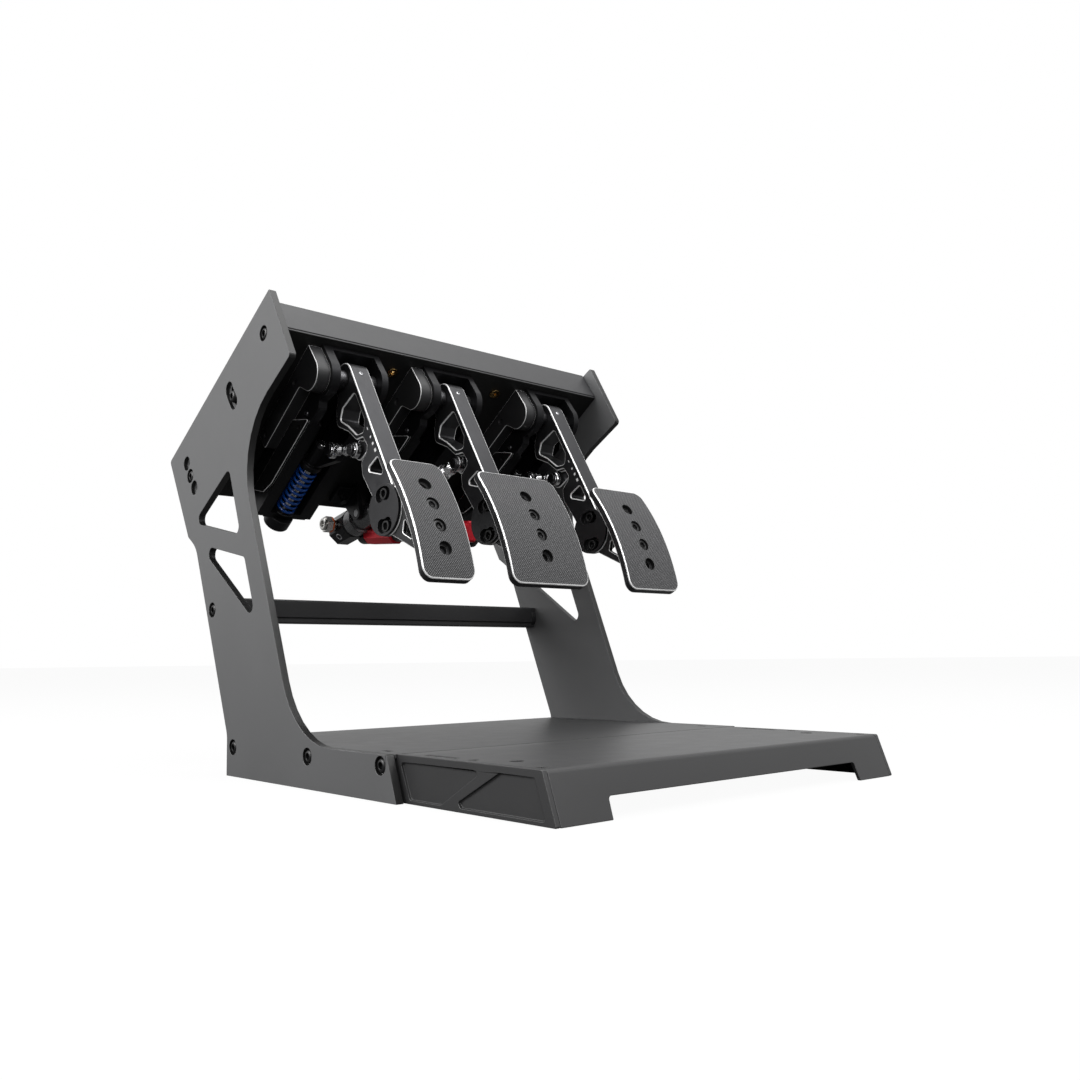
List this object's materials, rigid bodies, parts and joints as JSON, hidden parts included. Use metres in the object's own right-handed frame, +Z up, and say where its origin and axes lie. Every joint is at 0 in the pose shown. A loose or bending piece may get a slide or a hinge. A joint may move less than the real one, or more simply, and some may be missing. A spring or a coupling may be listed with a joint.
{
  "type": "simulator pedal set",
  "caption": "Inverted clutch, brake and throttle pedals hung from a tilted deck between two cut-out side plates, over a folded metal floor.",
  "frame": {"origin": "middle of the footprint at floor level", "axes": "+Z up, +Y away from the driver, +X to the driver's right"},
  "size_m": [0.365, 0.5142, 0.3884],
  "materials": {
    "side_plate_grey": "satin powder coat",
    "floor_black": "fine textured powder coat",
    "deck_grey": "satin powder coat",
    "bar_black": "satin powder coat",
    "screw_black": "black oxide",
    "zinc_steel": "zinc plated",
    "brass": "machined",
    "anodised_black": "black anodised, satin",
    "housing_black": "satin moulded",
    "polished_steel": "polished",
    "face_grey": "black anodised with a fine diamond knurl and bright chamfers",
    "spring_blue": "gloss powder coat",
    "cylinder_grey": "dark anodised, satin",
    "red_anodised": "red anodised"
  },
  "bodies": {
    "stand": {"left_side_plate": "side_plate_grey", "right_side_plate": "side_plate_grey", "rear_floor_plate": "floor_black", "front_floor_plate": "floor_black", "left_side_rail": "floor_black", "right_side_rail": "floor_black", "cross_bar": "bar_black", "pedal_deck": "deck_grey", "side_bolts": "screw_black", "side_nuts": "zinc_steel", "seam_screws": "screw_black", "deck_inserts": "brass", "module_bolts": "screw_black", "clutch_body": "anodised_black", "brake_body": "anodised_black", "throttle_body": "anodised_black", "clutch_sensor_housing": "housing_black", "brake_sensor_housing": "housing_black", "throttle_sensor_housing": "housing_black", "clutch_side_cover": "housing_black", "brake_side_cover": "housing_black", "throttle_side_cover": "housing_black", "clutch_pivot_pin": "polished_steel", "brake_pivot_pin": "polished_steel", "throttle_pivot_pin": "polished_steel", "clutch_guide_rod": "polished_steel", "throttle_guide_rod": "polished_steel", "clutch_spring": "spring_blue", "throttle_spring": "spring_blue", "clutch_spring_cap": "anodised_black", "throttle_spring_cap": "anodised_black", "brake_cylinder_hanger": "anodised_black"},
    "clutch_pedal": {"clutch_arm": "anodised_black", "clutch_face_bracket": "anodised_black", "clutch_face": "face_grey", "clutch_bracket_bolts": "screw_black", "clutch_face_screws": "screw_black", "clutch_eye_bolt": "polished_steel"},
    "brake_pedal": {"brake_arm": "anodised_black", "brake_face_bracket": "anodised_black", "brake_face": "face_grey", "brake_bracket_bolts": "screw_black", "brake_face_screws": "screw_black", "brake_eye_bolt": "polished_steel"},
    "throttle_pedal": {"throttle_arm": "anodised_black", "throttle_face_bracket": "anodised_black", "throttle_face": "face_grey", "throttle_bracket_bolts": "screw_black", "throttle_face_screws": "screw_black", "throttle_eye_bolt": "polished_steel"},
    "clutch_coupling": {"clutch_link": "polished_steel"},
    "throttle_coupling": {"throttle_link": "polished_steel"},
    "clutch_slider": {"clutch_plunger": "anodised_black"},
    "throttle_slider": {"throttle_plunger": "anodised_black"},
    "brake_hydraulics": {"brake_cylinder": "cylinder_grey", "brake_cylinder_block": "anodised_black", "brake_pressure_barrel": "red_anodised", "brake_banjo": "polished_steel"},
    "brake_rod": {"brake_pushrod": "polished_steel"}
  },
  "joints": [
    {"name": "clutch_pedal_hinge", "type": "hinge", "parent": "stand", "child": "clutch_pedal", "pos_m": [-0.1055, 0.06581, 0.32593], "axis": [1, 0, 0], "range_deg": [0, 20], "stiffness_Nm_per_rad": 14, "springref_deg": -6.88},
    {"name": "clutch_link_hinge", "type": "hinge", "parent": "clutch_pedal", "child": "clutch_coupling", "pos_m": [-0.1125, 0.04967, 0.26464], "axis": [1, 0, 0], "range_deg": [-40.96, 0]},
    {"name": "clutch_plunger_slide", "type": "slide", "parent": "stand", "child": "clutch_slider", "axis": [0, 0.8192, -0.5736], "range_m": [0, 0.02662], "deforming": ["clutch_spring"]},
    {"name": "throttle_pedal_hinge", "type": "hinge", "parent": "stand", "child": "throttle_pedal", "pos_m": [0.1175, 0.06581, 0.32593], "axis": [1, 0, 0], "range_deg": [0, 20], "stiffness_Nm_per_rad": 9, "springref_deg": -6.88},
    {"name": "throttle_link_hinge", "type": "hinge", "parent": "throttle_pedal", "child": "throttle_coupling", "pos_m": [0.1105, 0.04967, 0.26464], "axis": [1, 0, 0], "range_deg": [-40.96, 0]},
    {"name": "throttle_plunger_slide", "type": "slide", "parent": "stand", "child": "throttle_slider", "axis": [0, 0.8192, -0.5736], "range_m": [0, 0.02662], "deforming": ["throttle_spring"]},
    {"name": "brake_pedal_hinge", "type": "hinge", "parent": "stand", "child": "brake_pedal", "pos_m": [-0.004, 0.06581, 0.32593], "axis": [1, 0, 0], "range_deg": [0, 8], "stiffness_Nm_per_rad": 180, "springref_deg": -1.15},
    {"name": "brake_cylinder_swing", "type": "hinge", "parent": "stand", "child": "brake_hydraulics", "pos_m": [-0.011, 0.18664, 0.23523], "axis": [1, 0, 0], "range_deg": [0, 0.382]},
    {"name": "brake_pushrod_slide", "type": "slide", "parent": "brake_hydraulics", "child": "brake_rod", "axis": [0, 0.9802, -0.1978], "range_m": [0, 0.00934]}
  ],
  "couplings": [
    {"joint": "clutch_link_hinge", "follows": "clutch_pedal_hinge", "ratio": -2.0378},
    {"joint": "clutch_plunger_slide", "follows": "clutch_pedal_hinge", "m_per_rad": 0.075689},
    {"joint": "throttle_link_hinge", "follows": "throttle_pedal_hinge", "ratio": -2.0378},
    {"joint": "throttle_plunger_slide", "follows": "throttle_pedal_hinge", "m_per_rad": 0.075689},
    {"joint": "brake_cylinder_swing", "follows": "brake_pedal_hinge", "ratio": 0.035239},
    {"joint": "brake_pushrod_slide", "follows": "brake_pedal_hinge", "m_per_rad": 0.065439}
  ]
}
